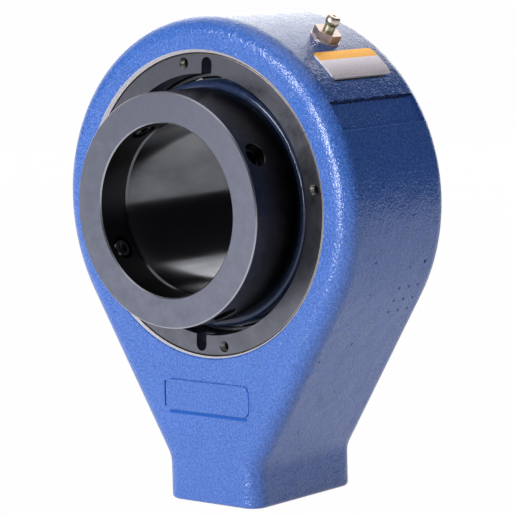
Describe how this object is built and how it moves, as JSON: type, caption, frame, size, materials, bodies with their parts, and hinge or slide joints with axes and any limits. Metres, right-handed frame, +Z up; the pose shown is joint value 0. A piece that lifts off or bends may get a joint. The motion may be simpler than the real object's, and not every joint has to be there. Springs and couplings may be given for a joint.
{
  "type": "hanger bearing",
  "caption": "Hanger bearing for a screw conveyor shaft: cast teardrop housing on a tapped square foot, self-aligning roller bearing, cover rings, seals and locking collar.",
  "frame": {"origin": "centre of the bearing, on the shaft's axis in the middle of the housing's width", "axes": "+Z up, Y along the shaft with the locking collar towards -Y, +X to the right as seen from the collar"},
  "size_m": [0.1656, 0.0945, 0.2168],
  "materials": {
    "housing_paint": "semi-gloss enamel over a cast skin",
    "black_steel": "satin black oxide",
    "bearing_steel": "ground",
    "case_steel": "pressed and greyed",
    "cage_brass": "machined",
    "seal_rubber": "glossy moulded",
    "screw_steel": "black oxide",
    "plated_steel": "zinc plated",
    "plate_metal": "matt silver with an orange band"
  },
  "bodies": {
    "housing": {"housing": "housing_paint", "outer_ring": "bearing_steel", "front_cover": "black_steel", "rear_cover": "black_steel", "front_seal_case": "case_steel", "rear_seal_case": "case_steel", "grease_fitting": "plated_steel", "check_spring": "bearing_steel", "nameplate": "plate_metal"},
    "floating_seals": {"front_seal": "seal_rubber", "rear_seal": "seal_rubber"},
    "shaft_sleeve": {"inner_ring": "black_steel", "locking_collar": "black_steel"},
    "cages": {"front_cage": "cage_brass", "rear_cage": "cage_brass", "guide_ring": "bearing_steel"},
    "check_ball": {"check_ball": "bearing_steel"},
    "set_screw_1": {"set_screw_1": "screw_steel"},
    "set_screw_2": {"set_screw_2": "screw_steel"},
    "set_screw_3": {"set_screw_3": "screw_steel"},
    "set_screw_4": {"set_screw_4": "screw_steel"},
    "front_roller_01": {"front_roller_01": "bearing_steel"},
    "front_roller_02": {"front_roller_02": "bearing_steel"},
    "front_roller_03": {"front_roller_03": "bearing_steel"},
    "front_roller_04": {"front_roller_04": "bearing_steel"},
    "front_roller_05": {"front_roller_05": "bearing_steel"},
    "front_roller_06": {"front_roller_06": "bearing_steel"},
    "front_roller_07": {"front_roller_07": "bearing_steel"},
    "front_roller_08": {"front_roller_08": "bearing_steel"},
    "front_roller_09": {"front_roller_09": "bearing_steel"},
    "front_roller_10": {"front_roller_10": "bearing_steel"},
    "front_roller_11": {"front_roller_11": "bearing_steel"},
    "front_roller_12": {"front_roller_12": "bearing_steel"},
    "front_roller_13": {"front_roller_13": "bearing_steel"},
    "front_roller_14": {"front_roller_14": "bearing_steel"},
    "front_roller_15": {"front_roller_15": "bearing_steel"},
    "front_roller_16": {"front_roller_16": "bearing_steel"},
    "front_roller_17": {"front_roller_17": "bearing_steel"},
    "front_roller_18": {"front_roller_18": "bearing_steel"},
    "rear_roller_01": {"rear_roller_01": "bearing_steel"},
    "rear_roller_02": {"rear_roller_02": "bearing_steel"},
    "rear_roller_03": {"rear_roller_03": "bearing_steel"},
    "rear_roller_04": {"rear_roller_04": "bearing_steel"},
    "rear_roller_05": {"rear_roller_05": "bearing_steel"},
    "rear_roller_06": {"rear_roller_06": "bearing_steel"},
    "rear_roller_07": {"rear_roller_07": "bearing_steel"},
    "rear_roller_08": {"rear_roller_08": "bearing_steel"},
    "rear_roller_09": {"rear_roller_09": "bearing_steel"},
    "rear_roller_10": {"rear_roller_10": "bearing_steel"},
    "rear_roller_11": {"rear_roller_11": "bearing_steel"},
    "rear_roller_12": {"rear_roller_12": "bearing_steel"},
    "rear_roller_13": {"rear_roller_13": "bearing_steel"},
    "rear_roller_14": {"rear_roller_14": "bearing_steel"},
    "rear_roller_15": {"rear_roller_15": "bearing_steel"},
    "rear_roller_16": {"rear_roller_16": "bearing_steel"},
    "rear_roller_17": {"rear_roller_17": "bearing_steel"},
    "rear_roller_18": {"rear_roller_18": "bearing_steel"}
  },
  "joints": [
    {"name": "self_align_tilt", "type": "hinge", "parent": "housing", "child": "floating_seals", "pos_m": [0, 0, 0], "axis": [1, 0, 0], "range_deg": [-1.5, 1.5]},
    {"name": "shaft_spin", "type": "hinge", "parent": "floating_seals", "child": "shaft_sleeve", "pos_m": [0, 0, 0], "axis": [0, 1, 0], "continuous": true},
    {"name": "cage_spin", "type": "hinge", "parent": "floating_seals", "child": "cages", "pos_m": [0, 0, 0], "axis": [0, 1, 0], "continuous": true},
    {"name": "set_screw_1_travel", "type": "slide", "parent": "shaft_sleeve", "child": "set_screw_1", "axis": [0.8704, 0, 0.4924], "range_m": [-0.0004, 0.0035]},
    {"name": "set_screw_2_travel", "type": "slide", "parent": "shaft_sleeve", "child": "set_screw_2", "axis": [-0.4924, 0, 0.8704], "range_m": [-0.0004, 0.0035]},
    {"name": "set_screw_3_travel", "type": "slide", "parent": "shaft_sleeve", "child": "set_screw_3", "axis": [-0.8704, 0, -0.4924], "range_m": [-0.0004, 0.0035]},
    {"name": "set_screw_4_travel", "type": "slide", "parent": "shaft_sleeve", "child": "set_screw_4", "axis": [0.4924, 0, -0.8704], "range_m": [-0.0004, 0.0035]},
    {"name": "check_ball_lift", "type": "slide", "parent": "housing", "child": "check_ball", "axis": [-0.5, 0, -0.866], "range_m": [0, 0.0008], "stiffness_N_per_m": 200, "springref_m": -0.0005},
    {"name": "front_roller_01_spin", "type": "hinge", "parent": "cages", "child": "front_roller_01", "pos_m": [0.05083, -0.00815, 0.00896], "axis": [0.1536, 0.9878, 0.0271], "continuous": true},
    {"name": "front_roller_02_spin", "type": "hinge", "parent": "cages", "child": "front_roller_02", "pos_m": [0.0447, -0.00815, 0.02581], "axis": [0.1351, 0.9878, 0.078], "continuous": true},
    {"name": "front_roller_03_spin", "type": "hinge", "parent": "cages", "child": "front_roller_03", "pos_m": [0.03317, -0.00815, 0.03954], "axis": [0.1003, 0.9878, 0.1195], "continuous": true},
    {"name": "front_roller_04_spin", "type": "hinge", "parent": "cages", "child": "front_roller_04", "pos_m": [0.01765, -0.00815, 0.0485], "axis": [0.0533, 0.9878, 0.1466], "continuous": true},
    {"name": "front_roller_05_spin", "type": "hinge", "parent": "cages", "child": "front_roller_05", "pos_m": [0, -0.00815, 0.05161], "axis": [0, 0.9878, 0.156], "continuous": true},
    {"name": "front_roller_06_spin", "type": "hinge", "parent": "cages", "child": "front_roller_06", "pos_m": [-0.01765, -0.00815, 0.0485], "axis": [-0.0533, 0.9878, 0.1466], "continuous": true},
    {"name": "front_roller_07_spin", "type": "hinge", "parent": "cages", "child": "front_roller_07", "pos_m": [-0.03317, -0.00815, 0.03954], "axis": [-0.1003, 0.9878, 0.1195], "continuous": true},
    {"name": "front_roller_08_spin", "type": "hinge", "parent": "cages", "child": "front_roller_08", "pos_m": [-0.0447, -0.00815, 0.02581], "axis": [-0.1351, 0.9878, 0.078], "continuous": true},
    {"name": "front_roller_09_spin", "type": "hinge", "parent": "cages", "child": "front_roller_09", "pos_m": [-0.05083, -0.00815, 0.00896], "axis": [-0.1536, 0.9878, 0.0271], "continuous": true},
    {"name": "front_roller_10_spin", "type": "hinge", "parent": "cages", "child": "front_roller_10", "pos_m": [-0.05083, -0.00815, -0.00896], "axis": [-0.1536, 0.9878, -0.0271], "continuous": true},
    {"name": "front_roller_11_spin", "type": "hinge", "parent": "cages", "child": "front_roller_11", "pos_m": [-0.0447, -0.00815, -0.02581], "axis": [-0.1351, 0.9878, -0.078], "continuous": true},
    {"name": "front_roller_12_spin", "type": "hinge", "parent": "cages", "child": "front_roller_12", "pos_m": [-0.03317, -0.00815, -0.03954], "axis": [-0.1003, 0.9878, -0.1195], "continuous": true},
    {"name": "front_roller_13_spin", "type": "hinge", "parent": "cages", "child": "front_roller_13", "pos_m": [-0.01765, -0.00815, -0.0485], "axis": [-0.0533, 0.9878, -0.1466], "continuous": true},
    {"name": "front_roller_14_spin", "type": "hinge", "parent": "cages", "child": "front_roller_14", "pos_m": [0, -0.00815, -0.05161], "axis": [0, 0.9878, -0.156], "continuous": true},
    {"name": "front_roller_15_spin", "type": "hinge", "parent": "cages", "child": "front_roller_15", "pos_m": [0.01765, -0.00815, -0.0485], "axis": [0.0533, 0.9878, -0.1466], "continuous": true},
    {"name": "front_roller_16_spin", "type": "hinge", "parent": "cages", "child": "front_roller_16", "pos_m": [0.03317, -0.00815, -0.03954], "axis": [0.1003, 0.9878, -0.1195], "continuous": true},
    {"name": "front_roller_17_spin", "type": "hinge", "parent": "cages", "child": "front_roller_17", "pos_m": [0.0447, -0.00815, -0.02581], "axis": [0.1351, 0.9878, -0.078], "continuous": true},
    {"name": "front_roller_18_spin", "type": "hinge", "parent": "cages", "child": "front_roller_18", "pos_m": [0.05083, -0.00815, -0.00896], "axis": [0.1536, 0.9878, -0.0271], "continuous": true},
    {"name": "rear_roller_01_spin", "type": "hinge", "parent": "cages", "child": "rear_roller_01", "pos_m": [0.05161, 0.00815, 0], "axis": [-0.156, 0.9878, 0], "continuous": true},
    {"name": "rear_roller_02_spin", "type": "hinge", "parent": "cages", "child": "rear_roller_02", "pos_m": [0.0485, 0.00815, 0.01765], "axis": [-0.1466, 0.9878, -0.0533], "continuous": true},
    {"name": "rear_roller_03_spin", "type": "hinge", "parent": "cages", "child": "rear_roller_03", "pos_m": [0.03954, 0.00815, 0.03317], "axis": [-0.1195, 0.9878, -0.1003], "continuous": true},
    {"name": "rear_roller_04_spin", "type": "hinge", "parent": "cages", "child": "rear_roller_04", "pos_m": [0.02581, 0.00815, 0.0447], "axis": [-0.078, 0.9878, -0.1351], "continuous": true},
    {"name": "rear_roller_05_spin", "type": "hinge", "parent": "cages", "child": "rear_roller_05", "pos_m": [0.00896, 0.00815, 0.05083], "axis": [-0.0271, 0.9878, -0.1536], "continuous": true},
    {"name": "rear_roller_06_spin", "type": "hinge", "parent": "cages", "child": "rear_roller_06", "pos_m": [-0.00896, 0.00815, 0.05083], "axis": [0.0271, 0.9878, -0.1536], "continuous": true},
    {"name": "rear_roller_07_spin", "type": "hinge", "parent": "cages", "child": "rear_roller_07", "pos_m": [-0.02581, 0.00815, 0.0447], "axis": [0.078, 0.9878, -0.1351], "continuous": true},
    {"name": "rear_roller_08_spin", "type": "hinge", "parent": "cages", "child": "rear_roller_08", "pos_m": [-0.03954, 0.00815, 0.03317], "axis": [0.1195, 0.9878, -0.1003], "continuous": true},
    {"name": "rear_roller_09_spin", "type": "hinge", "parent": "cages", "child": "rear_roller_09", "pos_m": [-0.0485, 0.00815, 0.01765], "axis": [0.1466, 0.9878, -0.0533], "continuous": true},
    {"name": "rear_roller_10_spin", "type": "hinge", "parent": "cages", "child": "rear_roller_10", "pos_m": [-0.05161, 0.00815, 0], "axis": [0.156, 0.9878, 0], "continuous": true},
    {"name": "rear_roller_11_spin", "type": "hinge", "parent": "cages", "child": "rear_roller_11", "pos_m": [-0.0485, 0.00815, -0.01765], "axis": [0.1466, 0.9878, 0.0533], "continuous": true},
    {"name": "rear_roller_12_spin", "type": "hinge", "parent": "cages", "child": "rear_roller_12", "pos_m": [-0.03954, 0.00815, -0.03317], "axis": [0.1195, 0.9878, 0.1003], "continuous": true},
    {"name": "rear_roller_13_spin", "type": "hinge", "parent": "cages", "child": "rear_roller_13", "pos_m": [-0.02581, 0.00815, -0.0447], "axis": [0.078, 0.9878, 0.1351], "continuous": true},
    {"name": "rear_roller_14_spin", "type": "hinge", "parent": "cages", "child": "rear_roller_14", "pos_m": [-0.00896, 0.00815, -0.05083], "axis": [0.0271, 0.9878, 0.1536], "continuous": true},
    {"name": "rear_roller_15_spin", "type": "hinge", "parent": "cages", "child": "rear_roller_15", "pos_m": [0.00896, 0.00815, -0.05083], "axis": [-0.0271, 0.9878, 0.1536], "continuous": true},
    {"name": "rear_roller_16_spin", "type": "hinge", "parent": "cages", "child": "rear_roller_16", "pos_m": [0.02581, 0.00815, -0.0447], "axis": [-0.078, 0.9878, 0.1351], "continuous": true},
    {"name": "rear_roller_17_spin", "type": "hinge", "parent": "cages", "child": "rear_roller_17", "pos_m": [0.03954, 0.00815, -0.03317], "axis": [-0.1195, 0.9878, 0.1003], "continuous": true},
    {"name": "rear_roller_18_spin", "type": "hinge", "parent": "cages", "child": "rear_roller_18", "pos_m": [0.0485, 0.00815, -0.01765], "axis": [-0.1466, 0.9878, 0.0533], "continuous": true}
  ],
  "couplings": [
    {"joint": "cage_spin", "follows": "shaft_spin", "ratio": 0.43062},
    {"joint": "front_roller_01_spin", "follows": "shaft_spin", "ratio": -3.4831},
    {"joint": "front_roller_02_spin", "follows": "shaft_spin", "ratio": -3.4831},
    {"joint": "front_roller_03_spin", "follows": "shaft_spin", "ratio": -3.4831},
    {"joint": "front_roller_04_spin", "follows": "shaft_spin", "ratio": -3.4831},
    {"joint": "front_roller_05_spin", "follows": "shaft_spin", "ratio": -3.4831},
    {"joint": "front_roller_06_spin", "follows": "shaft_spin", "ratio": -3.4831},
    {"joint": "front_roller_07_spin", "follows": "shaft_spin", "ratio": -3.4831},
    {"joint": "front_roller_08_spin", "follows": "shaft_spin", "ratio": -3.4831},
    {"joint": "front_roller_09_spin", "follows": "shaft_spin", "ratio": -3.4831},
    {"joint": "front_roller_10_spin", "follows": "shaft_spin", "ratio": -3.4831},
    {"joint": "front_roller_11_spin", "follows": "shaft_spin", "ratio": -3.4831},
    {"joint": "front_roller_12_spin", "follows": "shaft_spin", "ratio": -3.4831},
    {"joint": "front_roller_13_spin", "follows": "shaft_spin", "ratio": -3.4831},
    {"joint": "front_roller_14_spin", "follows": "shaft_spin", "ratio": -3.4831},
    {"joint": "front_roller_15_spin", "follows": "shaft_spin", "ratio": -3.4831},
    {"joint": "front_roller_16_spin", "follows": "shaft_spin", "ratio": -3.4831},
    {"joint": "front_roller_17_spin", "follows": "shaft_spin", "ratio": -3.4831},
    {"joint": "front_roller_18_spin", "follows": "shaft_spin", "ratio": -3.4831},
    {"joint": "rear_roller_01_spin", "follows": "shaft_spin", "ratio": -3.4831},
    {"joint": "rear_roller_02_spin", "follows": "shaft_spin", "ratio": -3.4831},
    {"joint": "rear_roller_03_spin", "follows": "shaft_spin", "ratio": -3.4831},
    {"joint": "rear_roller_04_spin", "follows": "shaft_spin", "ratio": -3.4831},
    {"joint": "rear_roller_05_spin", "follows": "shaft_spin", "ratio": -3.4831},
    {"joint": "rear_roller_06_spin", "follows": "shaft_spin", "ratio": -3.4831},
    {"joint": "rear_roller_07_spin", "follows": "shaft_spin", "ratio": -3.4831},
    {"joint": "rear_roller_08_spin", "follows": "shaft_spin", "ratio": -3.4831},
    {"joint": "rear_roller_09_spin", "follows": "shaft_spin", "ratio": -3.4831},
    {"joint": "rear_roller_10_spin", "follows": "shaft_spin", "ratio": -3.4831},
    {"joint": "rear_roller_11_spin", "follows": "shaft_spin", "ratio": -3.4831},
    {"joint": "rear_roller_12_spin", "follows": "shaft_spin", "ratio": -3.4831},
    {"joint": "rear_roller_13_spin", "follows": "shaft_spin", "ratio": -3.4831},
    {"joint": "rear_roller_14_spin", "follows": "shaft_spin", "ratio": -3.4831},
    {"joint": "rear_roller_15_spin", "follows": "shaft_spin", "ratio": -3.4831},
    {"joint": "rear_roller_16_spin", "follows": "shaft_spin", "ratio": -3.4831},
    {"joint": "rear_roller_17_spin", "follows": "shaft_spin", "ratio": -3.4831},
    {"joint": "rear_roller_18_spin", "follows": "shaft_spin", "ratio": -3.4831}
  ]
}
